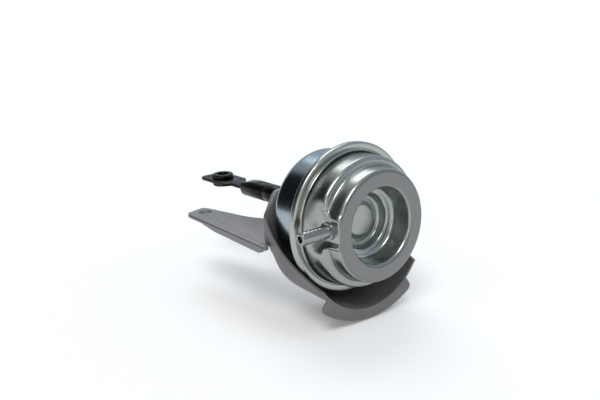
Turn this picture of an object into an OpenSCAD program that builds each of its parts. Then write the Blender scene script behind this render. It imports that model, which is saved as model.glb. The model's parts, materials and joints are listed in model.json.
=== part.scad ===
// Vacuum actuator for a turbocharger.
// The rod runs along X, towards +X into the can. +Z is up and the nipple points to -Y.
// The origin is the centre of the rod eye at rest.

/* [Layout] */
// Distance from the rod eye to the middle of the crimped seam
eye_to_seam = 100; // [96:1:110]
// Travel of the rod into the can
rod_stroke = 12; // [8:0.5:12]

/* [Sheet] */
// Sheet of the front cover
cover_t = 0.9; // [0.7:0.1:1.2]
// Sheet of the rear shell
shell_t = 0.9; // [0.7:0.1:1.2]
// Sheet of the heat shield
shield_t = 1; // [0.8:0.1:1.2]
// Plate of the mounting bracket
plate_t = 2; // [1.6:0.1:2.4]
// Thickness of the rubber diaphragm
rubber_t = 0.7; // [0.5:0.1:0.9]

/* [Crimped rim] */
// Diameter of the rolled rim
rim_d = 68; // [66.5:0.5:70]
// Height of the rim's front face over the seam plane
rim_h = 1.2; // [1:0.1:1.5]
// Inner diameter of the edge that is folded over the front cover's flange
fold_d = 62.2; // [61.6:0.1:63]

/* [Front cover] */
// Diameter of the first tier
tier_d = 58.8; // [57.5:0.1:60]
// Height of the first tier over the seam
tier_h = 11.9; // [10:0.1:13]
// Diameter of the annular boss
boss_d = 50; // [49:0.1:51]
// Height of the boss over the seam
boss_h = 19.9; // [18.5:0.1:22]
// Diameter of the recess at its mouth
recess_d = 34.3; // [33.4:0.1:35]
// Diameter of the ring step in the recess
ring_d = 25.2; // [23:0.1:26]
// Height of the ring step over the seam
ring_h = 9.4; // [8.5:0.1:10.5]
// Height of the recess floor over the seam
floor_h = 5; // [4.5:0.1:5.5]
// Diameter of the centre pad
pad_d = 14; // [12:0.5:15]
// Height of the centre pad over the recess floor
pad_rise = 1.4; // [1:0.1:2]
// Distance from the axis to the flat that carries the nipple
flat_y = 24.2; // [23.8:0.1:24.6]
// Width of the flat
flat_w = 13.5; // [12:0.5:15]
// Run of the flat's side walls for each millimetre of their depth
flat_flare = 2.2; // [1.8:0.1:2.6]

/* [Vacuum nipple] */
// Outer diameter over the barbs
nipple_d = 5.8; // [5.2:0.1:6.4]
// Bore
nipple_bore = 3; // [2.5:0.1:3.4]
// Length outside the flat
nipple_len = 15.5; // [14:0.5:18]
// Height of the nipple over the seam
nipple_h = 12.5; // [12:0.1:13]
// Height of the nipple over the rod axis
nipple_z = 2; // [0:0.5:3]
// Diameter of the base collar
collar_d = 8; // [7.5:0.1:9]
// Number of barbs
barbs = 5; // [3:1:6]

/* [Rear shell] */
// Diameter of the rear shell
shell_d = 57; // [56:0.5:58]
// Depth of the rear shell behind the seam
shell_depth = 22; // [21:0.5:24]
// Radius of the rear edge
shell_edge_r = 4.5; // [3:0.5:5]

/* [Rod] */
// Diameter of the actuator rod
rod_d = 6; // [5:0.1:6.4]
// Radial running clearance of the rod in its bush
rod_clear = 0.05; // [0.03:0.01:0.09]
// Outer diameter of the sleeve and the nut's corners
sleeve_d = 9.4; // [9:0.1:10]
// Distance from the eye to the front of the sleeve
sleeve_start = 22; // [20:0.5:24]
// Length of the sleeve
sleeve_len = 18; // [16:0.5:19]
// Length of the flattened nose of the sleeve
nose_len = 12; // [10:0.5:13]
// Height of the flattened nose over the rod axis
nose_top = 2.7; // [2.2:0.1:3.4]
// Length of the adjuster nut
adjuster_len = 9.5; // [8:0.5:11]
// Length of the lock nut
lock_nut_len = 4; // [3:0.5:5]
// Width of the lock nut across flats
lock_af = 8.5; // [8:0.1:9]

/* [Rod eye] */
// Diameter of the eye bush
bush_d = 11; // [10:0.1:12]
// Height of the eye bush
bush_h = 6; // [5:0.1:7]
// Bore of the eye bush
bush_bore = 6.1; // [5:0.05:7]
// Thickness of the rod end plate
eye_t = 1.6; // [1.4:0.1:2]
// Width of the rod end plate at the eye
eye_w = 14.6; // [14:0.1:16]
// Distance from the eye to the plate's tip and shoulder
eye_reach = 11; // [10:0.5:12]
// Width of the plate's neck
neck_w = 8; // [7:0.1:8.4]

/* [Moving parts inside] */
// Diameter of the piston cup
cup_d = 45.2; // [44.8:0.1:45.4]
// Height of the piston cup's wall
cup_h = 9; // [7:0.5:10]
// Diameter of the spring's wire
wire_d = 2.4; // [2:0.1:2.4]
// Working turns of the spring
coil_turns = 3.5; // [3:0.5:4]
// Diameter of the washer under the rod's riveted head
washer_d = 16; // [12:0.5:20]

/* [Rod guide] */
// Wall of the guide bush round the rod
guide_wall = 3.4; // [3:0.1:4]
// Width of the bush's flange round its neck
guide_flange = 1.8; // [1.4:0.1:2.2]
// Thickness of the bush's flange, and of the seal behind it
guide_step = 1.5; // [1.2:0.1:1.8]
// Sheet of the seal's retainer
retainer_t = 0.5; // [0.4:0.1:0.6]

/* [Bracket] */
// Height of the arm's upper face under the rod axis
arm_drop = 10; // [9:0.5:12]
// Diameter of the arm's bolt hole
arm_hole_d = 6.6; // [6.4:0.1:7]
// Position of the bolt hole along the rod axis
arm_hole_x = 15.7; // [13:0.1:20]
// Position of the bolt hole beside the rod axis
arm_hole_y = 22.6; // [21.6:0.1:23.6]
// Width of the arm's tip
arm_tip_w = 13.5; // [12.5:0.1:14.5]
// Depth of the folded edge at the root
fold_depth = 4.8; // [3:0.1:6]
// Height of the plate over the rod axis
plate_top = 13; // [12:0.5:14]

/* [Heat shield] */
// Diameter of the shield's back wall
shield_d = 64.4; // [63:0.1:66]
// Gap between the rim and the shield's side wall
shield_gap = 0.9; // [0.6:0.1:1.4]
// Downward offset of the cradle from the rod axis
cradle_drop = 6.6; // [6:0.1:7]
// Radius of the cradle's wall
cradle_r = 33.6; // [33:0.1:34.5]
// Outer radius of the front lip
lip_r = 44.2; // [43:0.1:46]
// Height of the lip over the seam
lip_h = 12; // [10:0.5:13]
// Radius of the lip's corners
lip_corner_r = 2.5; // [1.5:0.5:4]
// Top of the back wall over the rod axis
shield_top = 14.5; // [13.5:0.5:16]

/* [Fasteners] */
// Distance of each stud from the rod axis
stud_offset = 17; // [16:0.5:18]
// Diameter of the studs
stud_d = 5; // [4:0.5:5]
// Length of the studs behind the rear shell
stud_len = 11; // [9.5:0.5:13]
// Width of the stud nuts across flats
nut_af = 8; // [7:0.5:8]
// Height of the stud nuts
nut_h = 4; // [3.2:0.1:5]

/* [Hidden] */
$fn = 96;

// Clearances: of seated pieces, of bolts in their holes, of moving rubber and spring, and at the stops
seat_gap = 0.05;
bolt_gap = 0.2;
soft_gap = 0.3;
stop_gap = 0.6;
eps = 0.01;

// Crimped seam, from the front: folded edge, cover flange, rubber, shell flange
seam = eye_to_seam;
rim_r = rim_d / 2;
flange_h = rim_h - shell_t;
rubber_front = flange_h - cover_t;
rubber_back = rubber_front - rubber_t;
rim_back = rubber_back - shell_t;

// Outer radius of the rim's bends, and the flange's edge, which stays clear of them
rim_bend = 1.1;
flange_r = rim_r - max(shell_t, rim_bend) - seat_gap;

// Rear shell and what is bolted to it
shell_back = -shell_depth;
shell_inside = shell_back + shell_t;
neck_r = rod_d / 2 + guide_wall;
shield_back = shell_back - shield_t;
plate_back = shield_back - plate_t;
washer_t = 1;
nut_face = plate_back - washer_t;
seal_r = neck_r - 0.6;
bush_hole_r = neck_r + guide_flange + 1.4;

// Moving stack, set back from the centre pad by the stroke
tail_r = rod_d / 2 - 0.75;
tail_hole_r = tail_r + seat_gap;
pad_inside = floor_h + pad_rise - cover_t;
rivet_h = 1.4;
cup_face = pad_inside - stop_gap - rod_stroke - rivet_h - washer_t;
rubber_face = cup_face - cover_t;
retainer_face = rubber_face - rubber_t;
collar_face = retainer_face - 1;
rod_collar_face = collar_face - 1.2;
boss_inside = boss_h - cover_t;

// Spring seat between the bend of the recess wall and the flat, and the radius of the coils at both ends
seat_t = 0.8;
recess_bend_gap = 0.85;
flat_gap = 0.4;
seat_inner_r = recess_d / 2 + cover_t + recess_bend_gap;
seat_outer_r = flat_y - cover_t - flat_gap;
seat_coil_r = seat_inner_r + wire_d / 2 + 2 * seat_gap;
cup_coil_r = cup_d / 2 - cover_t - soft_gap - wire_d / 2;

// Rod line
sleeve_end = sleeve_start + sleeve_len;
adjuster_end = sleeve_end + adjuster_len;
lock_nut_end = adjuster_end + lock_nut_len;
rod_start = sleeve_end - 6;

// Bracket
arm_top = -arm_drop;
arm_bottom = arm_top - plate_t;
bracket_root = seam + shield_back;
bracket_near = -shield_d / 2 + 2.2;
arm_root_y = 12;

// A point moved along a direction
function unit(v) = v / norm(v);

// Arc points that round the corner b between a and c with radius r
function corner(a, b, c, r, steps = 6) =
    let (
        u = unit(a - b),
        v = unit(c - b),
        half = acos(u * v) / 2,
        mid = b + unit(u + v) * r / sin(half),
        from = b + u * r / tan(half) - mid,
        side = u[0] * v[1] - u[1] * v[0] > 0 ? -1 : 1,
        turn = side * (180 - 2 * half)
    )
    [for (i = [0:steps])
        let (t = turn * i / steps)
        mid + [from[0] * cos(t) - from[1] * sin(t), from[0] * sin(t) + from[1] * cos(t)]];

// Path through the points p = [x, y, corner radius], with its corners rounded
function rounded(p) = [
    for (i = [0:len(p) - 1])
        let (here = [p[i][0], p[i][1]])
        each (i == 0 || i == len(p) - 1 || p[i][2] == 0)
            ? [here]
            : corner([p[i - 1][0], p[i - 1][1]], here, [p[i + 1][0], p[i + 1][1]], p[i][2])
];

// Closed outline through the points p = [x, y, corner radius], with every corner rounded
function closed(p) = [
    for (i = [0:len(p) - 1])
        let (
            a = p[(i + len(p) - 1) % len(p)],
            b = p[i],
            c = p[(i + 1) % len(p)]
        )
        each b[2] == 0 ? [[b[0], b[1]]] : corner([a[0], a[1]], [b[0], b[1]], [c[0], c[1]], b[2])
];

// Normal on the left of the step from a to b
function left(a, b) = let (d = unit(b - a)) [-d[1], d[0]];

// Path p moved sideways by t, square at both ends
function beside(p, t) = [
    for (i = [0:len(p) - 1])
        let (
            before = left(p[max(i - 1, 0)], p[max(i, 1)]),
            after = left(p[min(i, len(p) - 2)], p[min(i + 1, len(p) - 1)]),
            mid = unit(before + after)
        )
        p[i] + mid * t / (mid * before)
];

function reversed(p) = [for (i = [len(p) - 1:-1:0]) p[i]];

// 1 where path p turns left at point i, and -1 where it turns right
function bend(p, i) =
    let (a = p[i] - p[i - 1], b = p[i + 1] - p[i])
    sign(a[0] * b[1] - a[1] * b[0]);

// Path through the corners p = [x, y, radius], moved sideways by t with its bends kept concentric
function drawn(p, t) =
    let (
        raw = [for (q = p) [q[0], q[1]]],
        moved = beside(raw, t)
    )
    rounded([
        for (i = [0:len(p) - 1])
            [moved[i][0], moved[i][1], p[i][2] == 0 ? 0 : max(0, p[i][2] - bend(raw, i) * t)]
    ]);

// Turned shape on the rod axis. Its outline holds [radius, distance in front of the seam].
module turned(outline) {
    translate([seam, 0, 0])
        rotate([0, 90, 0])
            rotate_extrude()
                polygon(outline);
}

// Turned sheet of thickness t on the left of the corners [radius, distance in front of the seam, bend radius]
module turned_sheet(corners, t) {
    turned(concat(drawn(corners, 0), reversed(drawn(corners, t))));
}

// Round bar along the rod axis from x = from to x = to
module bar(from, to, r) {
    translate([from, 0, 0])
        rotate([0, 90, 0])
            cylinder(h = to - from, r = r);
}

// Shapes at both stud places
module at_studs() {
    for (side = [-1, 1])
        translate([0, side * stud_offset, 0])
            children();
}

// Foot of the first tier. Its bend ends inside the folded edge, which so lies on the flange alone.
tier_taper = 0.2;
fold_gap = 0.4;
foot_r = tier_d / 2 + tier_taper;
foot_bend = fold_d / 2 - fold_gap - foot_r;

// Corners of the front cover's outer skin, from the flange to the centre
shelf_w = tier_d / 2 - boss_d / 2 - 0.9;
ring_w = recess_d / 2 - 1.2 - ring_d / 2;
cover_corners = [
    [flange_r, flange_h, 0],
    [foot_r, flange_h, foot_bend],
    [tier_d / 2 - 0.1, tier_h, min(1.8, shelf_w * 0.55)],
    [boss_d / 2 + 0.8, tier_h + 0.4, min(1.2, shelf_w * 0.35)],
    [boss_d / 2, boss_h, 1.5],
    [recess_d / 2, boss_h, 1.3],
    [recess_d / 2 - 1.2, ring_h + 0.4, min(2, ring_w * 0.55)],
    [ring_d / 2, ring_h, min(1.1, ring_w * 0.36)],
    [ring_d / 2 - 1, floor_h, 1.4],
    [pad_d / 2 + pad_rise, floor_h, 0.5],
    [pad_d / 2, floor_h + pad_rise, 1.2],
    [0, floor_h + pad_rise, 0]
];

// Space over the flat, where the first tier is pressed in
module flat_pocket(grow) {
    half = flat_w / 2 + grow;
    out = tier_d / 2 + 4;
    spread = out - flat_y;
    translate([seam + flange_h - grow, 0, 0])
        rotate([0, 90, 0])
            linear_extrude(boss_h)
                polygon([
                    [-half - nipple_z / 2, -flat_y + grow],
                    [half - nipple_z / 2, -flat_y + grow],
                    [half - nipple_z / 2 + spread * flat_flare, -out],
                    [-half - nipple_z / 2 - spread * flat_flare, -out]
                ]);
}

module front_cover() {
    skin = drawn(cover_corners, 0);
    inner = drawn(cover_corners, cover_t);
    color([0.72, 0.73, 0.72])
    difference() {
        difference() {
            turned(concat([[0, rubber_front], [flange_r, rubber_front]], skin));
            flat_pocket(0);
        }
        difference() {
            turned(concat(
                [[0, rubber_front - 1], [inner[1][0], rubber_front - 1]],
                [for (i = [1:len(inner) - 1]) inner[i]]
            ));
            flat_pocket(cover_t);
        }
        translate([seam + nipple_h, 3 - flat_y, nipple_z])
            rotate([90, 0, 0])
                cylinder(h = 4, r = nipple_bore / 2 + 0.9 + seat_gap);
    }
}

module rear_shell() {
    color([0.55, 0.62, 0.66])
    difference() {
        // From the folded edge round the rim and back to the neck
        turned_sheet([
            [fold_d / 2, rim_h, 0],
            [rim_r, rim_h, rim_bend],
            [rim_r, rim_back, rim_bend],
            [shell_d / 2, rim_back, 0.8],
            [shell_d / 2, shell_back, shell_edge_r],
            [neck_r, shell_back, 0]
        ], -shell_t);
        at_studs()
            bar(seam + shell_back - 1, seam + shell_inside + 1, stud_d / 2 + seat_gap);
    }
}

module vacuum_nipple() {
    land = 3.5;
    collar_t = 1.2;
    tip = 1.2;
    barb = (nipple_len - collar_t - land - tip) / barbs;
    root_r = nipple_d / 2 - 0.4;
    spigot_r = nipple_bore / 2 + 0.9;
    inside = cover_t + 0.3;
    teeth = [
        for (i = [0:barbs - 1])
            let (foot = collar_t + land + i * barb)
            each [[nipple_d / 2, foot], [root_r, foot + barb]]
    ];
    color([0.78, 0.79, 0.78])
    translate([seam + nipple_h, -flat_y, nipple_z])
        rotate([90, 0, 0])
            rotate_extrude()
                polygon(concat(
                    [
                        [nipple_bore / 2, -inside],
                        [spigot_r, -inside],
                        [spigot_r, seat_gap],
                        [collar_d / 2, seat_gap],
                        [collar_d / 2, collar_t],
                        [nipple_d / 2, collar_t]
                    ],
                    teeth,
                    [
                        [nipple_d / 2 - 0.1, nipple_len - tip],
                        [nipple_d / 2 - 0.1, nipple_len - 0.4],
                        [nipple_d / 2 - 0.5, nipple_len],
                        [nipple_bore / 2, nipple_len]
                    ]
                ));
}

module diaphragm() {
    wall_r = cup_d / 2 + soft_gap;
    color([0.12, 0.12, 0.13])
    turned_sheet([
        [tail_hole_r, rubber_face, 0],
        [wall_r, rubber_face, 1.2],
        [wall_r, rubber_front, 1.4],
        [flange_r, rubber_front, 0]
    ], -rubber_t);
}

module piston_cup() {
    color([0.66, 0.66, 0.64])
    turned_sheet([
        [tail_hole_r, rubber_face, 0],
        [cup_d / 2, rubber_face, 1.6],
        [cup_d / 2, rubber_face + cup_h, 0]
    ], cover_t);
}

module diaphragm_retainer() {
    edge_inset = 2;
    edge_r = cup_d / 2 - edge_inset;
    color([0.66, 0.66, 0.64])
    turned_sheet([
        [tail_hole_r, collar_face, 0],
        [edge_r, collar_face, 0.8],
        [edge_r + 1, collar_face - 1, 0]
    ], retainer_face - collar_face);
}

module rivet_washer() {
    color([0.7, 0.7, 0.68])
    turned([
        [tail_hole_r, cup_face],
        [washer_d / 2, cup_face],
        [washer_d / 2, cup_face + washer_t],
        [tail_hole_r, cup_face + washer_t]
    ]);
}

module actuator_rod() {
    color([0.6, 0.6, 0.6])
    union() {
        bar(rod_start, seam + collar_face + eps, rod_d / 2);
        bar(seam + rod_collar_face, seam + collar_face, rod_d / 2 + 1.6);
        bar(seam + collar_face, seam + cup_face + washer_t + eps, tail_r);
        turned([
            [0, cup_face + washer_t],
            [tail_r + 1.6, cup_face + washer_t],
            [tail_r + 1, cup_face + washer_t + rivet_h],
            [0, cup_face + washer_t + rivet_h]
        ]);
    }
}

module return_spring() {
    steps_per_turn = 20;
    sides = 8;
    seat_low = cup_face + wire_d / 2 + seat_gap;
    seat_high = boss_inside - seat_t - wire_d / 2 - seat_gap;
    dead = 1;
    dead_rise = wire_d * 1.1;
    steps = (coil_turns + 2 * dead) * steps_per_turn;
    rise = seat_high - seat_low - 2 * dead_rise;
    points = [
        for (i = [0:steps])
            let (
                t = i / steps_per_turn,
                share = max(0, min(coil_turns, t - dead)) / coil_turns,
                h = seat_low + dead_rise * min(t, 1) + rise * share + dead_rise * max(0, t - dead - coil_turns),
                coil_r = cup_coil_r + (seat_coil_r - cup_coil_r) * share
            )
            for (k = [0:sides - 1])
                let (r = coil_r + wire_d / 2 * cos(360 * k / sides))
                [
                    seam + h + wire_d / 2 * sin(360 * k / sides),
                    r * cos(360 * t),
                    r * sin(360 * t)
                ]
    ];
    walls = [
        for (i = [0:steps - 1])
            for (k = [0:sides - 1])
                let (a = i * sides + k, b = i * sides + (k + 1) % sides)
                each [[a, b, a + sides], [b, b + sides, a + sides]]
    ];
    color([0.5, 0.5, 0.5])
    polyhedron(
        points = points,
        faces = concat(
            walls,
            [[for (k = [sides - 1:-1:0]) k]],
            [[for (k = [0:sides - 1]) steps * sides + k]]
        )
    );
}

module spring_seat() {
    chamfer = 1.5;
    color([0.7, 0.7, 0.68])
    turned([
        [seat_inner_r, boss_inside - seat_t],
        [seat_outer_r, boss_inside - seat_t],
        [seat_outer_r, boss_inside],
        [seat_inner_r + chamfer, boss_inside]
    ]);
}

module guide_bush() {
    bore_r = rod_d / 2 + rod_clear;
    color([0.15, 0.15, 0.15])
    turned([
        [bore_r, shell_back - guide_step],
        [neck_r + guide_flange, shell_back - guide_step],
        [neck_r + guide_flange, shell_back],
        [neck_r - seat_gap, shell_back],
        [neck_r - seat_gap, shell_inside + 1.5],
        [neck_r - 1.4, shell_inside + 1.5],
        [neck_r - 1.4, rod_collar_face - 0.3],
        [bore_r, rod_collar_face - 0.3]
    ]);
}

module dust_seal() {
    bore_r = rod_d / 2 + rod_clear;
    color([0.1, 0.1, 0.1])
    turned([
        [bore_r, shell_back - 2 * guide_step],
        [seal_r, shell_back - 2 * guide_step],
        [seal_r, shell_back - guide_step],
        [bore_r, shell_back - guide_step]
    ]);
}

module seal_retainer() {
    wall_r = seal_r + 2 * seat_gap;
    end = shell_back - 2 * (guide_step + seat_gap);
    color([0.7, 0.7, 0.68])
    turned_sheet([
        [wall_r, shell_back - guide_step, 0],
        [wall_r, end, 0.3],
        [rod_d / 2 + soft_gap, end, 0]
    ], retainer_t);
}

module mounting_studs() {
    color([0.68, 0.69, 0.66])
    at_studs() {
        bar(seam + shell_back - stud_len, seam + shell_inside + eps, stud_d / 2);
        bar(seam + shell_inside, seam + shell_inside + 1.2, stud_d / 2 + 2);
    }
}

module stud_washers() {
    color([0.7, 0.7, 0.68])
    at_studs()
        difference() {
            bar(seam + nut_face, seam + plate_back, stud_d);
            bar(seam + nut_face - 1, seam + plate_back + 1, stud_d / 2 + bolt_gap);
        }
}

// Hexagon nut from x = from to x = to, chamfered, with its corners turned down to radius r
module hex_nut(from, to, af, r, bore_r) {
    length = to - from;
    chamfer = r - af / 2 + 0.1;
    difference() {
        translate([from, 0, 0])
            rotate([0, 90, 0])
                intersection() {
                    translate([0, 0, -1])
                        cylinder(h = length + 2, d = af / cos(30), $fn = 6);
                    rotate_extrude()
                        polygon([
                            [0, 0],
                            [r - chamfer, 0],
                            [r, chamfer * 0.6],
                            [r, length - chamfer * 0.6],
                            [r - chamfer, length],
                            [0, length]
                        ]);
                }
        bar(from - 1, to + 1, bore_r);
    }
}

module stud_nuts() {
    corner_r = nut_af / 2 / cos(30) - seat_gap;
    color([0.72, 0.72, 0.7])
    at_studs()
        hex_nut(seam + nut_face - nut_h, seam + nut_face, nut_af, corner_r, stud_d / 2 + seat_gap);
}

// Arm of the bracket, up to its bend at the plate behind the can. Its near edge runs on beside the shield.
module mounting_bracket() {
    hole = [arm_hole_x, -arm_hole_y];
    tip_near = hole + [-5, -7.4];
    tip_far = hole + [-7.8, arm_tip_w - 7.4 - 2.2];
    // End of the near edge beside the shield
    tongue = [bracket_root + 3.6, -shield_d / 2 - 2.5];
    tongue_w = 3;
    // Setback of the fold from both ends of the near edge
    fold_inset = 2;
    fold_len = tongue[0] - tip_near[0] - 2 * fold_inset;
    // Step between the arm's face and the outside of its folded edge
    fold_lip = 0.25;
    color([0.62, 0.6, 0.58])
    difference() {
        union() {
            translate([0, 0, arm_bottom])
                linear_extrude(plate_t)
                    polygon(closed([
                        [tip_near[0], tip_near[1], 2],
                        [tongue[0], tongue[1], 1],
                        [tongue[0], tongue[1] + tongue_w, 1],
                        [bracket_root, tongue[1] + tongue_w, 0.8],
                        [bracket_root, arm_root_y, 0],
                        [bracket_root - 18, arm_root_y - 14, 12],
                        [bracket_root - 38, arm_root_y - 24.4, 40],
                        [tip_far[0] + 6, tip_far[1] + 1.6, 5],
                        [tip_far[0], tip_far[1], 2.5]
                    ]));
            // Folded near edge
            translate([tip_near[0] + fold_inset, tip_near[1] - fold_lip, 0])
                rotate([0, 0, atan2(tongue[1] - tip_near[1], tongue[0] - tip_near[0])])
                    rotate([90, 0, 0])
                        translate([0, 0, -plate_t])
                            linear_extrude(plate_t)
                                polygon(closed([
                                    [10, arm_top - fold_lip, 0],
                                    [10, arm_bottom + fold_lip, 0],
                                    [24, arm_top - fold_depth + 0.8, 30],
                                    [fold_len, arm_top - fold_depth, 3],
                                    [fold_len, arm_top - fold_lip, 1]
                                ]));
        }
        translate([hole[0], hole[1], arm_bottom - 1])
            cylinder(h = plate_t + 2, d = arm_hole_d);
    }
}

// Plate of the bracket behind the can, which stands on the arm at the bend
module bracket_plate() {
    side = stud_offset + 7;
    color([0.62, 0.6, 0.58])
    difference() {
        translate([seam + plate_back, 0, 0])
            rotate([90, 0, 90])
                linear_extrude(plate_t)
                    polygon(closed([
                        [bracket_near, arm_top, 0],
                        [bracket_near, 2, 3],
                        [-side, plate_top, 5],
                        [side, plate_top, 6],
                        [side, arm_top, 6],
                        [arm_root_y, arm_top, 0]
                    ]));
        bar(seam + plate_back - 1, seam + shield_back + 1, bush_hole_r);
        at_studs()
            bar(seam + plate_back - 1, seam + shield_back + 1, stud_d / 2 + bolt_gap);
    }
}

// Solid form of the shield up to the height front, drawn in by t
module shield_body(t, front) {
    slope = (rim_r + shield_gap + shield_t - shield_d / 2) / -shield_back;
    back = shield_back + t;
    wide = shield_d / 2 - t;
    turned(rounded([
        [0, back, 0],
        [wide, back, 2.5 - t],
        [wide + slope * (front - back), front, 0],
        [0, front, 0]
    ]));
    translate([0, 0, -cradle_drop])
        turned(rounded([
            [0, back, 0],
            [cradle_r - 2.4 - t, back, 7 - t],
            [cradle_r - t, front, 0],
            [0, front, 0]
        ]));
}

// Cut that rounds the lip's corner at the angle a. The lip lies on the side of a that side points to.
module lip_corner(a, side) {
    inset = lip_r - lip_corner_r;
    centre = [sqrt(inset * inset - lip_corner_r * lip_corner_r), side * lip_corner_r];
    rotate([0, 0, a])
        translate([0, 0, lip_h - shield_t - 1])
            linear_extrude(shield_t + 2)
                difference() {
                    polygon([
                        centre,
                        [centre[0], -side],
                        [lip_r + 1, -side],
                        centre * (lip_r + 1) / inset
                    ]);
                    translate(centre)
                        circle(r = lip_corner_r);
                }
}

module heat_shield() {
    scoop_r = 60.3;
    scoop = [31.2, 32.4];
    lip_from = -131;
    lip_to = -55;
    side_top = 2;
    far = 60;
    corner_y = shield_d / 2 - shield_top + side_top;
    color([0.6, 0.58, 0.56])
    difference() {
        union() {
            shield_body(0, lip_h - shield_t / 3);
            translate([seam, 0, 0])
                rotate([0, 90, 0])
                    difference() {
                        rotate([0, 0, lip_from + 90])
                            rotate_extrude(angle = lip_to - lip_from)
                                polygon([
                                    [20, lip_h - shield_t],
                                    [lip_r, lip_h - shield_t],
                                    [lip_r, lip_h],
                                    [20, lip_h]
                                ]);
                        lip_corner(lip_from + 90, 1);
                        lip_corner(lip_to + 90, -1);
                    }
        }
        shield_body(shield_t, lip_h + 1);
        // Sides that fall back to the back wall
        intersection() {
            translate([seam + scoop[0], far, scoop[1]])
                rotate([90, 0, 0])
                    cylinder(h = 2 * far, r = scoop_r);
            translate([seam + shell_back, -far, -far])
                cube([far, 2 * far, 2 * far]);
        }
        translate([seam + shell_back, -far, side_top + 0.5])
            cube([far, 2 * far, far]);
        // Top edge of the back wall
        translate([seam + shield_back - 1, 0, 0])
            rotate([90, 0, 90])
                linear_extrude(shield_t + 2)
                    polygon([
                        [-far, side_top],
                        [-shield_d / 2 - 1, side_top],
                        [-corner_y, shield_top],
                        [corner_y, shield_top],
                        [shield_d / 2 + 1, side_top],
                        [far, side_top],
                        [far, far],
                        [-far, far]
                    ]);
        bar(seam + shield_back - 1, seam + shell_back + 1, bush_hole_r);
        at_studs()
            bar(seam + shield_back - 1, seam + shell_back + 1, stud_d / 2 + bolt_gap);
    }
}

module lock_nut() {
    color([0.12, 0.12, 0.12])
    hex_nut(adjuster_end, lock_nut_end, lock_af, sleeve_d / 2, rod_d / 2 + seat_gap);
}

module adjuster_nut() {
    color([0.12, 0.12, 0.12])
    difference() {
        bar(sleeve_end, adjuster_end, sleeve_d / 2);
        bar(sleeve_end - 1, adjuster_end + 1, rod_d / 2 + seat_gap);
    }
}

module adjuster_sleeve() {
    slot = eye_t + 2 * seat_gap;
    slot_end = sleeve_start + nose_len - 2;
    color([0.1, 0.1, 0.1])
    difference() {
        bar(sleeve_start, sleeve_end, sleeve_d / 2);
        // Bore for the threaded rod
        bar(rod_start - 0.5, sleeve_end + 1, rod_d / 2 + seat_gap);
        // Slot that takes the plate's neck
        translate([sleeve_start - 1, -neck_w / 2 - seat_gap, -slot / 2])
            cube([slot_end - sleeve_start + 1 + seat_gap, neck_w + 2 * seat_gap, slot]);
        // Flattened nose
        translate([sleeve_start, -sleeve_d, nose_top])
            rotate([0, -atan2(sleeve_d / 2 - nose_top, nose_len), 0])
                translate([-5, 0, 0])
                    cube([nose_len + 10, 2 * sleeve_d, sleeve_d]);
    }
}

module rod_end() {
    neck_end = sleeve_start + nose_len - 2;
    color([0.16, 0.16, 0.16])
    translate([0, 0, -eye_t / 2])
        linear_extrude(eye_t)
            difference() {
                polygon(closed([
                    [-eye_reach, -eye_w / 2, 2.5],
                    [eye_reach, -eye_w / 2, 2],
                    [eye_reach + 2, -neck_w / 2, 1.5],
                    [neck_end, -neck_w / 2, 0],
                    [neck_end, neck_w / 2, 0],
                    [eye_reach + 2, neck_w / 2, 1.5],
                    [eye_reach, eye_w / 2, 2],
                    [-eye_reach, eye_w / 2, 2.5]
                ]));
                circle(r = bush_d / 2 - 1);
            }
}

module eye_bush() {
    color([0.14, 0.14, 0.14])
    rotate_extrude()
        polygon([
            [bush_bore / 2, -bush_h / 2],
            [bush_d / 2 - 0.4, -bush_h / 2],
            [bush_d / 2, -bush_h / 2 + 0.4],
            [bush_d / 2, -eye_t / 2],
            [bush_d / 2 - 1 - seat_gap, -eye_t / 2],
            [bush_d / 2 - 1 - seat_gap, eye_t / 2],
            [bush_d / 2, eye_t / 2],
            [bush_d / 2, bush_h / 2 - 0.4],
            [bush_d / 2 - 0.4, bush_h / 2],
            [bush_bore / 2, bush_h / 2]
        ]);
}

front_cover();
rear_shell();
vacuum_nipple();
diaphragm();
piston_cup();
diaphragm_retainer();
rivet_washer();
return_spring();
spring_seat();
actuator_rod();
guide_bush();
dust_seal();
seal_retainer();
mounting_studs();
stud_washers();
stud_nuts();
mounting_bracket();
bracket_plate();
heat_shield();
lock_nut();
adjuster_nut();
adjuster_sleeve();
rod_end();
eye_bush();
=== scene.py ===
"""Looks of a vacuum actuator for a turbocharger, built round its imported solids.

Lengths in the classes are millimetres. X runs along the rod towards the can, Z is up, and the
origin is the centre of the rod eye. A turned outline holds [radius, distance in front of the seam].
"""

import json
import logging
import math
from dataclasses import dataclass
from enum import Enum
from typing import Any, Callable, Optional, Sequence, Union

import bpy
from mathutils import Matrix, Vector


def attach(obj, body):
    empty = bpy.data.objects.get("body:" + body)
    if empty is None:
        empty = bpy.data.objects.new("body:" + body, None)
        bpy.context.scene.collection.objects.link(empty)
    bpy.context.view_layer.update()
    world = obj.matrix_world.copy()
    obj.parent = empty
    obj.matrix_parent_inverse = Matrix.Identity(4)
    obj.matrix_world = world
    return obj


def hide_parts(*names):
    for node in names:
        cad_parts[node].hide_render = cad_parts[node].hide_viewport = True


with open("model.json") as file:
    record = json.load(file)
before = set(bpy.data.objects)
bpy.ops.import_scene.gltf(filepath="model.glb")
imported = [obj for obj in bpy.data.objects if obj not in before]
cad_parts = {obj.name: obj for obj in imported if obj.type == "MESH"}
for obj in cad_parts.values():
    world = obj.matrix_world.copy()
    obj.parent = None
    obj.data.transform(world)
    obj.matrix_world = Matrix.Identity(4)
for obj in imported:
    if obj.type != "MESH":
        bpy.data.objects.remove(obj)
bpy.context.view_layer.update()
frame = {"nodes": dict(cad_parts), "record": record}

LOG = logging.getLogger("actuator")
MM = 0.001
SEAM = 100.0
X_AXIS = (1.0, 0.0, 0.0)

Rgb = tuple[float, float, float]
Point = tuple[float, float]
Corner = tuple[float, float, float]
Input = Union["Wire", float, Sequence[float]]


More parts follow.
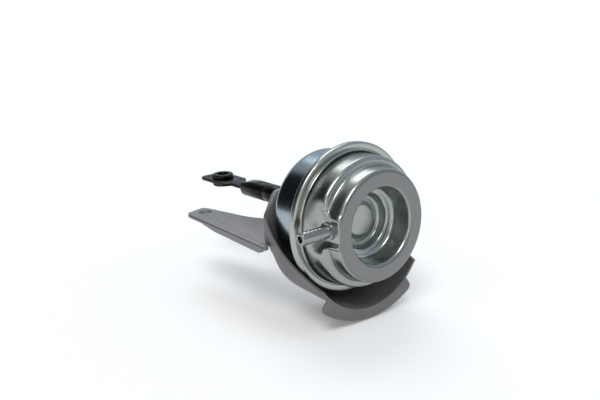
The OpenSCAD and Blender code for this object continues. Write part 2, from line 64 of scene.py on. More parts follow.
class Body(Enum):
    """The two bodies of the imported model."""

    HOUSING = "housing"
    ROD = "rod"


class Wire:
    """An output socket that can be used like a number in an expression."""

    def __init__(self, graph: "Graph", socket: bpy.types.NodeSocket) -> None:
        """Keeps the socket and the graph that it belongs to."""
        self.graph = graph
        self.socket = socket

    def _math(self, operation: str, first: Input, second: Input = 0.0) -> "Wire":
        """Adds one Math node.

        Args:
            operation: The node's operation.
            first: Its first value.
            second: Its second value.

        Returns:
            The node's result.
        """
        return self.graph.node("ShaderNodeMath", {"operation": operation}, {0: first, 1: second})

    def __add__(self, other: Input) -> "Wire":
        """Returns self + other."""
        return self._math("ADD", self, other)

    def __radd__(self, other: Input) -> "Wire":
        """Returns other + self."""
        return self._math("ADD", other, self)

    def __sub__(self, other: Input) -> "Wire":
        """Returns self - other."""
        return self._math("SUBTRACT", self, other)

    def __rsub__(self, other: Input) -> "Wire":
        """Returns other - self."""
        return self._math("SUBTRACT", other, self)

    def __mul__(self, other: Input) -> "Wire":
        """Returns self * other."""
        return self._math("MULTIPLY", self, other)

    def __rmul__(self, other: Input) -> "Wire":
        """Returns other * self."""
        return self._math("MULTIPLY", other, self)

    def __truediv__(self, other: Input) -> "Wire":
        """Returns self / other."""
        return self._math("DIVIDE", self, other)

    def clamped(self) -> "Wire":
        """Returns self, held between 0 and 1."""
        return self._math("MINIMUM", self._math("MAXIMUM", self, 0.0), 1.0)

    def stepped(self, low: float, high: float) -> "Wire":
        """Returns a smooth step of self.

        Args:
            low: Value where the step is 0.
            high: Value where the step is 1.

        Returns:
            The step, from 0 to 1.
        """
        share = ((self - low) / (high - low)).clamped()
        return share * share * (3.0 - 2.0 * share)


class Graph:
    """The node tree of one material or of the world."""

    def __init__(self, tree: bpy.types.NodeTree) -> None:
        """Empties the tree."""
        self.tree = tree
        tree.nodes.clear()

    def node(
        self,
        kind: str,
        settings: Optional[dict[str, Any]] = None,
        sockets: Optional[dict[Union[str, int], Input]] = None,
        output: Union[str, int] = 0,
    ) -> Wire:
        """Adds a node.

        Args:
            kind: The node's type.
            settings: Properties of the node, which are set first.
            sockets: Values or links of its inputs.
            output: The output that is returned.

        Returns:
            The output, ready for expressions.
        """
        made = self.tree.nodes.new(kind)
        for key, value in (settings or {}).items():
            setattr(made, key, value)
        for key, value in (sockets or {}).items():
            if isinstance(value, Wire):
                self.tree.links.new(value.socket, made.inputs[key])
            else:
                made.inputs[key].default_value = value
        return Wire(self, made.outputs[output]) if made.outputs else None

    def place(self) -> Wire:
        """Returns the point on the piece in Object coordinates."""
        return self.node("ShaderNodeTexCoord", output="Object")

    def part_of(self, vector: Wire) -> list[Wire]:
        """Returns the three numbers of a vector."""
        split = self.node("ShaderNodeSeparateXYZ", sockets={0: vector})
        made = split.socket.node
        return [Wire(self, socket) for socket in made.outputs]

    def noise(self, scale: float, detail: float = 3.0, stretch: Rgb = (1.0, 1.0, 1.0)) -> Wire:
        """Adds a noise pattern.

        Args:
            scale: Features per metre.
            detail: Octaves of finer noise.
            stretch: Scale of the pattern along each axis.

        Returns:
            Noise from 0 to 1.
        """
        point = self.node("ShaderNodeMapping", sockets={"Vector": self.place(), "Scale": stretch})
        return self.node("ShaderNodeTexNoise", sockets={"Vector": point, "Scale": scale, "Detail": detail})

    def blend(self, factor: Input, low: Input, high: Input) -> Wire:
        """Mixes two colours.

        Args:
            factor: Share of the high colour.
            low: Colour at 0.
            high: Colour at 1.

        Returns:
            The mixed colour.
        """
        sockets = {0: factor}
        for key, color in ((6, low), (7, high)):
            sockets[key] = color if isinstance(color, Wire) else (*color, 1.0)
        return self.node("ShaderNodeMix", {"data_type": "RGBA"}, sockets, output=2)

    def bump(self, height: Wire, depth: float, strength: float) -> Wire:
        """Returns a normal bumped by height, over depth metres."""
        sockets = {"Height": height, "Distance": depth, "Strength": strength}
        return self.node("ShaderNodeBump", sockets=sockets)

    def surface(self, **sockets: Input) -> None:
        """Ends the tree in a Principled shader, whose sockets are named with _ for a space."""
        named = {key.replace("_", " "): value for key, value in sockets.items()}
        shader = self.node("ShaderNodeBsdfPrincipled", sockets=named)
        self.node("ShaderNodeOutputMaterial", sockets={"Surface": shader})


def material(name: str) -> tuple[bpy.types.Material, Graph]:
    """Makes an empty node material.

    Args:
        name: Name of the material.

    Returns:
        The material and its graph.
    """
    made = bpy.data.materials.new(name)
    made.use_nodes = True
    return made, Graph(made.node_tree)


@dataclass(frozen=True)
class Zone:
    """A stretch along X where the plating takes another colour, which sets in between start and full: a
    painted darker reflection on the cover's front face, a lighter tone on the shell's rim.
    """

    start: float
    full: float
    color: Rgb
    roughness: float


@dataclass(frozen=True)
class PlatedSteel:
    """Bare or plated steel with clouded plating and fine handling marks."""

    name: str
    color: Rgb
    cloud: Rgb
    roughness: float
    zone: Optional[Zone] = None
    cloud_scale: float = 60.0
    grain_scale: float = 2400.0
    grain_depth: float = 0.0000012
    grain_stretch: Rgb = (1.0, 1.0, 1.0)
    scuff_scale: float = 300.0
    scuff_stretch: Rgb = (1.0, 0.25, 0.25)
    bump_strength: float = 0.4

    def build(self) -> bpy.types.Material:
        """Builds the material from clouds, a fine grain and long faint scuffs."""
        made, graph = material(self.name)
        clouds = graph.noise(self.cloud_scale, 3.0)
        grain = graph.noise(self.grain_scale, 2.0, self.grain_stretch)
        scuffs = graph.noise(self.scuff_scale, 4.0, self.scuff_stretch)
        color = graph.blend((clouds * 2.0 - 0.5).clamped(), self.color, self.cloud)
        roughness = self.roughness
        # Zone colour over a stretch along X: on the cover's front face a painted darker reflection, on the
        # shell's rim a lighter tone.
        if self.zone:
            along = graph.part_of(graph.place())[0]
            inside = along.stepped(self.zone.start * MM, self.zone.full * MM)
            color = graph.blend(inside, color, self.zone.color)
            roughness = self.roughness + inside * (self.zone.roughness - self.roughness)
        graph.surface(
            Base_Color=color,
            Metallic=1.0,
            Roughness=roughness * (0.9 + scuffs * 0.16 + grain * 0.04),
            Normal=graph.bump(grain + scuffs * 0.8, self.grain_depth, self.bump_strength),
        )
        return made


@dataclass(frozen=True)
class CoatedSteel:
    """Steel under a thin matt coat with a fine pebbled grain."""

    name: str
    color: Rgb
    worn: Rgb
    roughness: float
    metallic: float = 0.0
    grain_scale: float = 1900.0
    grain_depth: float = 0.000012
    shine: float = 0.5
    patch_scale: float = 110.0
    bump_strength: float = 0.5

    def build(self) -> bpy.types.Material:
        """Builds the material from a pebbled bump and a worn tint."""
        made, graph = material(self.name)
        grain = graph.noise(self.grain_scale, 3.0)
        patches = graph.noise(self.patch_scale, 4.0)
        wear = (patches * 1.8 - 0.6 + grain * 0.2).clamped()
        graph.surface(
            Base_Color=graph.blend(wear, self.color, self.worn),
            Metallic=self.metallic,
            Roughness=self.roughness * (0.88 + grain * 0.24),
            Specular_IOR_Level=self.shine,
            Normal=graph.bump(grain, self.grain_depth, self.bump_strength),
        )
        return made


@dataclass(frozen=True)
class Moulded:
    """Rubber or plastic from a mould."""

    name: str
    color: Rgb
    roughness: float
    grain_scale: float = 2200.0
    grain_depth: float = 0.00001
    bloom_scale: float = 160.0
    bump_strength: float = 0.4

    def build(self) -> bpy.types.Material:
        """Builds the material with a faint bloom and a fine texture."""
        made, graph = material(self.name)
        grain = graph.noise(self.grain_scale, 2.0)
        bloom = graph.noise(self.bloom_scale, 3.0)
        pale = tuple(min(1.0, part * 1.8 + 0.01) for part in self.color)
        graph.surface(
            Base_Color=graph.blend(bloom, self.color, pale),
            Roughness=self.roughness * (0.85 + bloom * 0.3),
            Normal=graph.bump(grain, self.grain_depth, self.bump_strength),
        )
        return made


# Painted reflection: the cover's front face gets a darker, neutral colour that stands in for the darker
# room it reflects.
FACE_PAINTED_REFLECTION = Zone(119.2, 119.8, (0.222, 0.222, 0.222), 0.36)
RIM = Zone(97.2, 97.8, (0.41, 0.43, 0.405), 0.26)
COVER_ZINC = PlatedSteel("cover_zinc", (0.37, 0.395, 0.376), (0.33, 0.355, 0.34), 0.25, FACE_PAINTED_REFLECTION)
SHELL_ZINC = PlatedSteel("shell_zinc", (0.36, 0.43, 0.475), (0.31, 0.38, 0.425), 0.18, RIM)
NIPPLE_STEEL = PlatedSteel("nipple_steel", (0.34, 0.34, 0.336), (0.27, 0.27, 0.27), 0.2)
PRESSED_STEEL = PlatedSteel("pressed_steel", (0.55, 0.55, 0.53), (0.47, 0.47, 0.46), 0.32)
SPRING_STEEL = PlatedSteel("spring_steel", (0.36, 0.36, 0.36), (0.28, 0.28, 0.28), 0.3)
ROD_STEEL = PlatedSteel(
    "rod_steel", (0.5, 0.5, 0.49), (0.43, 0.43, 0.42), 0.22, grain_stretch=(6.0, 1.0, 1.0)
)
FASTENER_ZINC = PlatedSteel("fastener_zinc", (0.5, 0.51, 0.49), (0.42, 0.44, 0.40), 0.26)
BRACKET_STEEL = CoatedSteel("bracket_steel", (0.225, 0.22, 0.228), (0.255, 0.25, 0.256), 0.5, 0.3)
SHIELD_STEEL = CoatedSteel("shield_steel", (0.15, 0.143, 0.14), (0.195, 0.187, 0.183), 0.48, 0.3)
BLACK_STEEL = CoatedSteel(
    "black_steel", (0.0014, 0.0014, 0.0016), (0.005, 0.005, 0.0054), 0.3,
    grain_scale=700.0, grain_depth=0.00012, shine=0.2,
)
RUBBER = Moulded("diaphragm_rubber", (0.02, 0.02, 0.02), 0.7)
BUSH_PLASTIC = Moulded("bush_plastic", (0.03, 0.03, 0.03), 0.45)

FINISHES = (
    COVER_ZINC, SHELL_ZINC, NIPPLE_STEEL, PRESSED_STEEL, SPRING_STEEL, ROD_STEEL,
    FASTENER_ZINC, BRACKET_STEEL, SHIELD_STEEL, BLACK_STEEL, RUBBER, BUSH_PLASTIC,
)


class Paint:
    """The materials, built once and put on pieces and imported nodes."""

    def __init__(self) -> None:
        """Builds every finish."""
        self.made = {finish.name: finish.build() for finish in FINISHES}

    def put(self, piece: bpy.types.Object, slot: str) -> None:
        """Gives a piece the finish of a material slot.

        Args:
            piece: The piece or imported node.
            slot: Name of the slot, which is also the finish's name.
        """
        piece.data.materials.clear()
        piece.data.materials.append(self.made[slot])


def smooth_step(value: float, low: float, high: float) -> float:
    """Returns 0 at low and 1 at high, with a smooth rise between them."""
    share = min(1.0, max(0.0, (value - low) / (high - low)))
    return share * share * (3 - 2 * share)


@dataclass
class Outline:
    """An open path with rounded corners, each given as (x, y, reach of its bend along both sides).

    A straight stretch has steps of at most longest, and a bend takes at most the share fullest of the
    stretches beside it.
    """

    corners: Sequence[Corner]
    bend_steps: int = 8
    longest: float = 1.2
    fullest: float = 0.48

    def bend(self, index: int) -> list[Vector]:
        """Rounds one corner with a circular arc.

        Args:
            index: The corner's place in the path.

        Returns:
            The points of the bend, which lie evenly where the path runs straight on.
        """
        before, corner, after = (Vector(self.corners[index + step][:2]) for step in (-1, 0, 1))
        if self.corners[index][2] == 0:
            return [corner]
        reach = min(
            self.corners[index][2],
            self.fullest * (before - corner).length,
            self.fullest * (after - corner).length,
        )
        back, on = (before - corner).normalized(), (after - corner).normalized()
        start, end = corner + back * reach, corner + on * reach
        pull = math.sin(back.angle(on) / 2)
        points = []
        for step in range(self.bend_steps + 1):
            share = step / self.bend_steps
            parts = ((1 - share) ** 2, 2 * share * (1 - share) * pull, share * share)
            points.append((start * parts[0] + corner * parts[1] + end * parts[2]) / sum(parts))
        return points

    def bends(self) -> list[list[Vector]]:
        """Returns the points of each corner, ends included."""
        inner = [self.bend(index) for index in range(1, len(self.corners) - 1)]
        return [[Vector(self.corners[0][:2])], *inner, [Vector(self.corners[-1][:2])]]

    def divisions(self) -> list[int]:
        """Returns how many steps each straight stretch takes."""
        bends = self.bends()
        lengths = [(on[0] - here[-1]).length for here, on in zip(bends, bends[1:])]
        return [max(1, math.ceil(length / self.longest)) for length in lengths]

    def points(self, divisions: Optional[Sequence[int]] = None) -> list[Point]:
        """Lists the points of the path.

        Args:
            divisions: Steps of each straight stretch, so that two paths match point by point.

        Returns:
            The points.
        """
        bends = self.bends()
        path = list(bends[0])
        for bend, count in zip(bends[1:], divisions or self.divisions()):
            first = path[-1]
            path += [first.lerp(bend[0], step / count) for step in range(1, count)]
            path += bend
        return [(point.x, point.y) for point in path]


class Bench:
    """Modelling steps that the pieces share."""

    weld = 0.002

    @staticmethod
    def clear() -> None:
        """Leaves edit mode and selects nothing."""
        if bpy.context.object and bpy.context.object.mode != "OBJECT":
            bpy.ops.object.mode_set(mode="OBJECT")
        bpy.ops.object.select_all(action="DESELECT")

    @classmethod
    def pick(cls, piece: bpy.types.Object) -> None:
        """Selects one piece alone."""
        cls.clear()
        piece.select_set(True)
        bpy.context.view_layer.objects.active = piece

    @classmethod
    def trace(cls, name: str, points: Sequence[Sequence[float]]) -> bpy.types.Object:
        """Draws a line by extruding one vertex from point to point.

        Args:
            name: Name of the piece.
            points: The line's points, in millimetres.

        Returns:
            The object, in edit mode with everything selected.
        """
        cls.clear()
        places = [Vector(point) * MM for point in points]
        bpy.ops.mesh.primitive_plane_add(size=MM, location=places[0])
        piece = bpy.context.object
        piece.name = name
        piece.data.name = name
        bpy.ops.object.transform_apply(location=True, rotation=True, scale=True)
        bpy.ops.object.mode_set(mode="EDIT")
        bpy.ops.mesh.select_all(action="SELECT")
        bpy.ops.mesh.merge(type="CENTER")
        for here, on in zip(places, places[1:]):
            bpy.ops.mesh.extrude_vertices_move(TRANSFORM_OT_translate={"value": on - here})
        bpy.ops.mesh.select_all(action="SELECT")
        return piece

    @classmethod
    def spin(
        cls, name: str, points: Sequence[Point], steps: int, outer: Sequence[float]
    ) -> bpy.types.Object:
        """Turns an outline [radius, distance in front of the seam] round the rod axis.

        Args:
            name: Name of the piece.
            points: The outline's points, in millimetres.
            steps: Steps of the full turn.
            outer: The way that the sheet's outer side points at its end.

        Returns:
            The turned sheet, in object mode.
        """
        piece = cls.trace(name, [(SEAM + along, 0.0, radius) for radius, along in points])
        bpy.ops.mesh.spin(
            steps=steps, angle=2 * math.pi, center=(SEAM * MM, 0, 0), axis=X_AXIS, use_auto_merge=True
        )
        bpy.ops.mesh.select_all(action="SELECT")
        bpy.ops.mesh.remove_doubles(threshold=cls.weld * MM)
        bpy.ops.mesh.normals_make_consistent(inside=False)
        bpy.ops.object.mode_set(mode="OBJECT")
        way = Vector(outer)
        furthest = max(piece.data.polygons, key=lambda face: face.center.dot(way))
        if furthest.normal.dot(way) < 0:
            cls.edit(piece, bpy.ops.mesh.flip_normals)
        return piece

    @classmethod
    def edit(cls, piece: bpy.types.Object, *steps: Callable[[], Any]) -> None:
        """Runs steps in edit mode with everything selected.

        Args:
            piece: The piece that is edited.
            *steps: The steps.
        """
        cls.pick(piece)
        bpy.ops.object.mode_set(mode="EDIT")
        bpy.ops.mesh.select_all(action="SELECT")
        for step in steps:
            step()
        bpy.ops.object.mode_set(mode="OBJECT")

    @classmethod
    def modify(cls, piece: bpy.types.Object, kind: str, **settings: Any) -> None:
        """Adds a modifier and applies it.

        Args:
            piece: The piece.
            kind: Type of the modifier.
            **settings: Its properties.
        """
        cls.pick(piece)
        modifier = piece.modifiers.new(kind.lower(), kind)
        for key, value in settings.items():
            setattr(modifier, key, value)
        bpy.ops.object.modifier_apply(modifier=modifier.name)

    @classmethod
    def thicken(cls, piece: bpy.types.Object, sheet: float) -> None:
        """Gives a sheet its wall, behind its outer side."""
        cls.modify(piece, "SOLIDIFY", thickness=sheet * MM, offset=-1.0, use_even_offset=True)

    @classmethod
    def break_edges(cls, piece: bpy.types.Object, width: float, degrees: float = 40.0) -> None:
        """Bevels the edges that are sharper than an angle.

        Args:
            piece: The piece.
            width: Width of the bevel.
            degrees: Sharpness from which an edge is bevelled.
        """
        cls.modify(
            piece, "BEVEL", width=width * MM, segments=2, limit_method="ANGLE",
            angle_limit=math.radians(degrees), use_clamp_overlap=True,
        )

    @classmethod
    def smooth(cls, piece: bpy.types.Object, degrees: float) -> None:
        """Shades a piece smooth, apart from edges sharper than an angle."""
        cls.pick(piece)
        bpy.ops.object.shade_smooth_by_angle(angle=math.radians(degrees))


@dataclass
class Assembly:
    """A sub-assembly that hands its pieces to the frame."""

    paint: Paint

    def hand_over(
        self, piece: bpy.types.Object, body: Body, slot: str, nodes: Sequence[str], degrees: float = 35.0
    ) -> None:
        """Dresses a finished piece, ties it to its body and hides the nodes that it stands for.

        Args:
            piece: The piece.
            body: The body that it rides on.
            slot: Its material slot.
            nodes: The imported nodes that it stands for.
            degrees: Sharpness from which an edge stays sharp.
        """
        Bench.smooth(piece, degrees)
        self.paint.put(piece, slot)
        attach(piece, body.value)
        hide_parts(*nodes)
        LOG.info("%s: %d faces on %s", piece.name, len(piece.data.polygons), body.value)


@dataclass
class FrontCover(Assembly):
    """The pressed front shell: tier, annular boss, recess, and the flat that carries the nipple."""

    sheet: float = 0.9
    # Flange, tier and boss
    flange_r: float = 32.85
    flange_x: float = 0.3
    foot_flare: float = 0.3
    foot_bend: float = 1.1
    tier_r: float = 29.3
    tier_x: float = 11.9
    tier_bend: float = 1.8
    shelf_in: float = 0.8
    shelf_rise: float = 0.4
    shelf_bend: float = 1.2
    boss_r: float = 25.0
    boss_x: float = 19.9
    boss_bend: float = 1.7
    # Recess, from its mouth over a ring to the floor and the raised pad
    mouth_r: float = 17.15
    mouth_bend: float = 1.7
    mouth_draft: float = 1.2
    ring_r: float = 12.6
    ring_x: float = 9.4
    ring_rise: float = 0.4
    ring_foot_bend: float = 1.7
    ring_bend: float = 0.9
    ring_draft: float = 1.0
    floor_x: float = 5.0
    floor_bend: float = 1.3
    pad_r: float = 7.0
    pad_x: float = 6.4
    pad_draft: float = 1.4
    pad_foot_bend: float = 0.3
    pad_bend: float = 0.7
    # Flat: its distance from the axis, and the degrees over which it runs out above and below
    flat_y: float = 24.5
    flat_half: float = 12.0
    upper_run: Point = (9.0, 36.0)
    lower_run: Point = (4.0, 20.0)
    # Wall between the round foot and the flat
    draw_from: float = 3.0
    draw_flare: float = 0.2
    draw_lean: float = 0.12
    draw_foot_bend: float = 1.3
    draw_to: float = 7.6
    draw_rise: float = 0.38
    wall_lean: float = 0.1
    wall_bend: float = 3.0
    # Where the tier's shoulder has climbed into the boss's
    merge_x: float = 16.2
    merge_rise: float = 0.9
    merge_from: float = 27.6
    merge_to: float = 25.2
    merge_tier_bend: float = 0.7
    merge_shelf_bend: float = 0.4
    # Columns of the turned sheet
    steps: int = 320
    crowding: float = 0.6
    axis_reach: float = 0.01

    def wall(self, angle: float) -> float:
        """Finds the tier's wall, which the flat presses in.

        Args:
            angle: Angle from -Y towards +Z, in radians.

        Returns:
            Distance of the tier's wall from the rod axis.
        """
        degrees = math.degrees(angle)
        pressed = self.flat_y / math.cos(math.radians(min(abs(degrees), self.flat_half)))
        above = smooth_step(degrees, *self.upper_run)
        below = smooth_step(-degrees, *self.lower_run)
        return pressed + (self.tier_r - pressed) * (above + below)

    def skin(self, wall: float) -> Outline:
        """Draws the outer skin at one angle.

        Over the flat the tier's shoulder climbs the wall and ends in the boss's shoulder, which closes
        the step between them.

        Args:
            wall: Distance of the tier's wall from the rod axis.

        Returns:
            The outline from the flange to the centre.
        """
        merged = 1 - smooth_step(wall, self.merge_to, self.merge_from)
        kept = 1 - merged
        depth = self.tier_r - wall
        draw_r = self.tier_r + self.draw_flare - depth * self.draw_lean
        tier_x = self.tier_x * kept + self.merge_x * merged
        tier_bend = self.tier_bend * kept + self.merge_tier_bend * merged
        shelf_x = tier_x + self.shelf_rise + self.merge_rise * merged
        shelf_bend = self.shelf_bend * kept + self.merge_shelf_bend * merged
        boss_r = self.boss_r * kept + wall * merged
        return Outline([
            (self.flange_r, self.flange_x, 0),
            (self.tier_r + self.foot_flare, self.flange_x, self.foot_bend),
            (draw_r, self.draw_from, self.draw_foot_bend),
            (wall + self.wall_lean, self.draw_to + self.draw_rise * depth, self.wall_bend),
            (wall, tier_x, tier_bend),
            (boss_r + self.shelf_in * kept, shelf_x, shelf_bend),
            (boss_r, self.boss_x, self.boss_bend),
            (self.mouth_r, self.boss_x, self.mouth_bend),
            (self.mouth_r - self.mouth_draft, self.ring_x + self.ring_rise, self.ring_foot_bend),
            (self.ring_r, self.ring_x, self.ring_bend),
            (self.ring_r - self.ring_draft, self.floor_x, self.floor_bend),
            (self.pad_r + self.pad_draft, self.floor_x, self.pad_foot_bend),
            (self.pad_r, self.pad_x, self.pad_bend),
            (0, self.pad_x, 0),
        ])

    def press(self, piece: bpy.types.Object, turned: Sequence[Point], divisions: Sequence[int]) -> None:
        """Presses the flat by moving each vertex from the turned skin to the skin at its angle.

        Args:
            piece: The turned sheet. Its columns are first drawn together towards the flat.
            turned: Points of the turned skin.
            divisions: Steps of the skin's straight stretches.
        """
        skins: dict[float, list[Point]] = {}
        for vertex in piece.data.vertices:
            y, z, along = vertex.co.y / MM, vertex.co.z / MM, vertex.co.x / MM - SEAM
            radius = math.hypot(y, z)
            if radius < self.axis_reach:
                continue
            nearest = min(range(len(turned)), key=lambda at: math.dist(turned[at], (radius, along)))
            angle = math.atan2(z, -y)
            angle -= self.crowding * math.sin(angle)
            key = round(angle, 4)
            if key not in skins:
                skins[key] = self.skin(self.wall(angle)).points(divisions)
            pressed, lifted = skins[key][nearest]
            vertex.co = Vector((SEAM + lifted, -pressed * math.cos(angle), pressed * math.sin(angle))) * MM

    def build(self) -> None:
        """Turns, presses and thickens the cover."""
        skin = self.skin(self.tier_r)
        divisions = skin.divisions()
        turned = skin.points(divisions)
        piece = Bench.spin("pressed_front_cover", turned, self.steps, X_AXIS)
        self.press(piece, turned, divisions)
        Bench.thicken(piece, self.sheet)
        self.hand_over(piece, Body.HOUSING, COVER_ZINC.name, ["front_cover"], 60.0)


@dataclass
class RearShell(Assembly):
    """The drawn rear shell, whose edge is folded over the cover's flange."""

    sheet: float = 0.9
    fold_r: float = 30.9
    rim_r: float = 34.0
    rim_front: float = 1.2
    rim_back: float = -2.2
    rim_bend: float = 1.1
    shell_r: float = 28.5
    root_bend: float = 0.8
    back: float = -22.0
    edge_r: float = 4.5
    neck_r: float = 6.4
    broken: float = 0.22
    steps: int = 256

    def build(self) -> None:
        """Turns and thickens the shell, and breaks the fold's edge."""
        outline = Outline([
            (self.fold_r, self.rim_front, 0),
            (self.rim_r, self.rim_front, self.rim_bend),
            (self.rim_r, self.rim_back, self.rim_bend),
            (self.shell_r, self.rim_back, self.root_bend),
            (self.shell_r, self.back, self.edge_r),
            (self.neck_r, self.back, 0),
        ])
        piece = Bench.spin("drawn_rear_shell", outline.points(), self.steps, (-1.0, 0.0, 0.0))
        Bench.thicken(piece, self.sheet)
        Bench.break_edges(piece, self.broken)
        self.hand_over(piece, Body.HOUSING, SHELL_ZINC.name, ["rear_shell"])


@dataclass(frozen=True)
class Finished:
    """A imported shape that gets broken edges, and a seam where its edge is folded under."""

    name: str
    node: str
    body: Body
    slot: str
    width: float
    degrees: float = 40.0
    folded: bool = False


FINISHED = (
    Finished("shield_tray", "heat_shield", Body.HOUSING, SHIELD_STEEL.name, 0.38),
    Finished("bracket_arm", "mounting_bracket", Body.HOUSING, BRACKET_STEEL.name, 0.3, folded=True),
    Finished("bracket_back", "bracket_plate", Body.HOUSING, BRACKET_STEEL.name, 0.3),
    Finished("hose_nipple", "vacuum_nipple", Body.HOUSING, NIPPLE_STEEL.name, 0.12, 30.0),
    Finished("plain_washers", "stud_washers", Body.HOUSING, FASTENER_ZINC.name, 0.12),
    Finished("hexagon_nuts", "stud_nuts", Body.HOUSING, FASTENER_ZINC.name, 0.12),
    Finished("plain_studs", "mounting_studs", Body.HOUSING, FASTENER_ZINC.name, 0.15),
    Finished("bush_retainer", "seal_retainer", Body.HOUSING, PRESSED_STEEL.name, 0.12),
    Finished("eye_plate", "rod_end", Body.ROD, BLACK_STEEL.name, 0.25),
    Finished("eye_collar", "eye_bush", Body.ROD, BLACK_STEEL.name, 0.35),
    Finished("screwed_sleeve", "adjuster_sleeve", Body.ROD, BLACK_STEEL.name, 0.3),
    Finished("sleeve_nut", "adjuster_nut", Body.ROD, BLACK_STEEL.name, 0.2),
    Finished("locking_nut", "lock_nut", Body.ROD, BLACK_STEEL.name, 0.2),
)


@dataclass
class FinishedParts(Assembly):
    """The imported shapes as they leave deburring, and the nodes that only get a finish."""

    arm_bottom: float = -12.0
    fold_share: float = 0.7
    seam_top: float = -10.45
    seam_bottom: float = -10.9
    seam_depth: float = 0.6
    near_side: float = -0.8
    weld: float = 0.001
    level_degrees: float = 0.6

    def copy(self, row: Finished) -> bpy.types.Object:
        """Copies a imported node's mesh and makes it one clean skin.

        Args:
            row: The part.

        Returns:
            The new piece.
        """
        piece = bpy.data.objects.new(row.name, frame["nodes"][row.node].data.copy())
        piece.data.name = row.name
        bpy.context.scene.collection.objects.link(piece)
        Bench.edit(
            piece,
            lambda: bpy.ops.mesh.remove_doubles(threshold=self.weld * MM),
            lambda: bpy.ops.mesh.dissolve_limited(angle_limit=math.radians(self.level_degrees)),
        )
        return piece

    def lower_fold(self, arm: bpy.types.Object) -> None:
        """Gives the folded edge under the arm its depth."""
        for vertex in arm.data.vertices:
            below = self.arm_bottom - vertex.co.z / MM
            if below > 0:
                vertex.co.z = (self.arm_bottom - below * self.fold_share) * MM

    def cut_seam(self, arm: bpy.types.Object) -> None:
        """Cuts the narrow seam between the arm's plate and its folded edge.

        Args:
            arm: The arm, with its edges broken.
        """
        for height in (self.seam_top, self.seam_bottom):
            Bench.edit(arm, lambda: bpy.ops.mesh.bisect(plane_co=(0, 0, height * MM), plane_no=(0, 0, 1)))
        mesh = arm.data
        for part in (*mesh.vertices, *mesh.edges, *mesh.polygons):
            part.select = False
        low, high = self.seam_bottom * MM, self.seam_top * MM
        for face in mesh.polygons:
            face.select = low < face.center.z < high and face.normal.y < self.near_side
        bpy.context.tool_settings.mesh_select_mode = (False, False, True)
        bpy.ops.object.mode_set(mode="EDIT")
        bpy.ops.mesh.extrude_region_move(TRANSFORM_OT_translate={"value": (0, self.seam_depth * MM, 0)})
        bpy.ops.object.mode_set(mode="OBJECT")
        bpy.context.tool_settings.mesh_select_mode = (True, False, False)

    def build(self) -> None:
        """Finishes each part and dresses the nodes that stay."""
        for row in frame["record"]["subparts"]:
            self.paint.put(frame["nodes"][row["node"]], row["material_slot"])
            LOG.info("%s: packed node in %s", row["node"], row["material_slot"])
        for row in FINISHED:
            piece = self.copy(row)
            if row.folded:
                self.lower_fold(piece)
            Bench.break_edges(piece, row.width, row.degrees)
            if row.folded:
                self.cut_seam(piece)
            self.hand_over(piece, row.body, row.slot, [row.node])


@dataclass(frozen=True)
class Sun:
    """A soft light: the way to it, its strength, and its apparent width in degrees."""

    name: str
    towards: Rgb
    strength: float
    spread: float


SUNS = (
    Sun("key", (0.38, -0.43, 0.82), 1.35, 26.0),
    Sun("fill", (-0.5, 0.3, 0.81), 0.7, 35.0),
    Sun("side", (0.68, -0.7, 0.22), 0.3, 30.0),
)


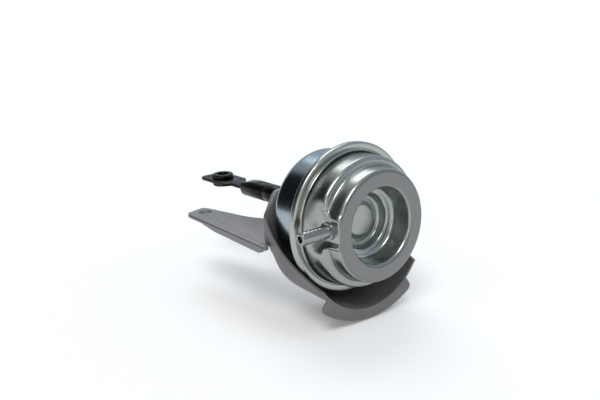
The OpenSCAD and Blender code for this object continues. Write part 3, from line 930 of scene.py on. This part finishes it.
@dataclass
class Studio:
    """The floor, the lights, the world and the camera."""

    # Camera, in degrees, millimetres and pixels of the picture
    azimuth: float = 51.36
    elevation: float = 16.02
    roll: float = -2.5
    distance: float = 400.0
    focal_pixels: float = 900.0
    image_width: float = 600.0
    image_height: float = 400.0
    seam_pixel: Point = (351.14, 217.16)
    sensor: float = 36.0
    # Floor, with its size in metres
    floor_z: float = -45.0
    floor_size: float = 60.0
    floor_albedo: float = 0.86
    floor_glow: float = 0.14
    # Room: each colour sets in over its run, by height, by Y, and by nearness to the flag's direction
    room: Rgb = (0.33, 0.33, 0.325)
    overhead: Rgb = (0.52, 0.53, 0.54)
    overhead_run: Point = (0.25, 0.95)
    far_side: Rgb = (0.49, 0.565, 0.64)
    far_side_run: Point = (-0.1, 0.4)
    flag: Rgb = (0.012, 0.013, 0.015)
    flag_run: Point = (0.87, 0.95)
    flag_towards: Rgb = (-0.755, -0.503, 0.4225)

    def camera(self) -> None:
        """Places the camera so that the seam's centre falls on its pixel."""
        turn, rise, lean = (math.radians(v) for v in (self.azimuth, self.elevation, self.roll))
        back = Vector((math.sin(turn) * math.cos(rise), -math.cos(turn) * math.cos(rise), math.sin(rise)))
        level = Vector((math.cos(turn), math.sin(turn), 0.0))
        steep = back.cross(level)
        right = level * math.cos(lean) + steep * math.sin(lean)
        up = steep * math.cos(lean) - level * math.sin(lean)
        aside = (self.seam_pixel[0] - self.image_width / 2) * self.distance / self.focal_pixels
        above = (self.image_height / 2 - self.seam_pixel[1]) * self.distance / self.focal_pixels
        eye = Vector((SEAM, 0, 0)) + back * self.distance - right * aside - up * above
        lens = bpy.data.cameras.new("camera")
        lens.sensor_width = self.sensor
        lens.lens = lens.sensor_width * self.focal_pixels / self.image_width
        lens.clip_start = 0.01
        lens.clip_end = 200.0
        camera = bpy.data.objects.new("camera", lens)
        bpy.context.scene.collection.objects.link(camera)
        turned = Matrix((right, up, back)).transposed().to_4x4()
        camera.matrix_world = Matrix.Translation(eye * MM) @ turned
        bpy.context.scene.camera = camera

    def floor(self) -> None:
        """Lays the pale floor under the shield's lip."""
        Bench.clear()
        bpy.ops.mesh.primitive_plane_add(size=self.floor_size, location=(0, 0, self.floor_z * MM))
        floor = bpy.context.object
        floor.name = "floor"
        made, graph = material("pale_floor")
        kinds = ("Camera", "Glossy", "Transmission")
        rays = [graph.node("ShaderNodeLightPath", output=f"Is {kind} Ray") for kind in kinds]
        seen = (rays[0] + rays[1] + rays[2]).clamped()
        lit = graph.node("ShaderNodeBsdfDiffuse", sockets={"Color": (*(self.floor_albedo,) * 3, 1.0)})
        glow = graph.node("ShaderNodeEmission", sockets={"Strength": seen * self.floor_glow})
        both = graph.node("ShaderNodeAddShader", sockets={0: lit, 1: glow})
        graph.node("ShaderNodeOutputMaterial", sockets={"Surface": both})
        floor.data.materials.append(made)

    def sun(self, row: Sun) -> None:
        """Adds a soft light.

        Args:
            row: The light.
        """
        data = bpy.data.lights.new(row.name, "SUN")
        data.energy = row.strength
        data.angle = math.radians(row.spread)
        light = bpy.data.objects.new(row.name, data)
        light.rotation_euler = Vector(row.towards).to_track_quat("Z", "Y").to_euler()
        bpy.context.scene.collection.objects.link(light)

    def world(self) -> None:
        """Makes the room: grey, paler overhead, cooler on the far side, with one dark flag."""
        world = bpy.data.worlds.new("studio")
        world.use_nodes = True
        bpy.context.scene.world = world
        graph = Graph(world.node_tree)
        x, y, z = graph.part_of(graph.node("ShaderNodeTexCoord", output="Generated"))
        shade = graph.blend(z.stepped(*self.overhead_run), self.room, self.overhead)
        shade = graph.blend(y.stepped(*self.far_side_run), shade, self.far_side)
        near_flag = x * self.flag_towards[0] + y * self.flag_towards[1] + z * self.flag_towards[2]
        shade = graph.blend(near_flag.stepped(*self.flag_run), shade, self.flag)
        sky = graph.node("ShaderNodeBackground", sockets={"Color": shade, "Strength": 1.0})
        graph.node("ShaderNodeOutputWorld", sockets={"Surface": sky})

    def build(self) -> None:
        """Sets up everything that isn't part of the object."""
        self.camera()
        self.floor()
        self.world()
        for row in SUNS:
            self.sun(row)
        bpy.context.scene.view_settings.view_transform = "Standard"


def main() -> None:
    """Builds the studio and the pieces."""
    logging.basicConfig(level=logging.INFO, format="%(name)s: %(message)s")
    Studio().build()
    paint = Paint()
    for assembly in (FinishedParts(paint), FrontCover(paint), RearShell(paint)):
        assembly.build()


if __name__ == "__main__":
    main()
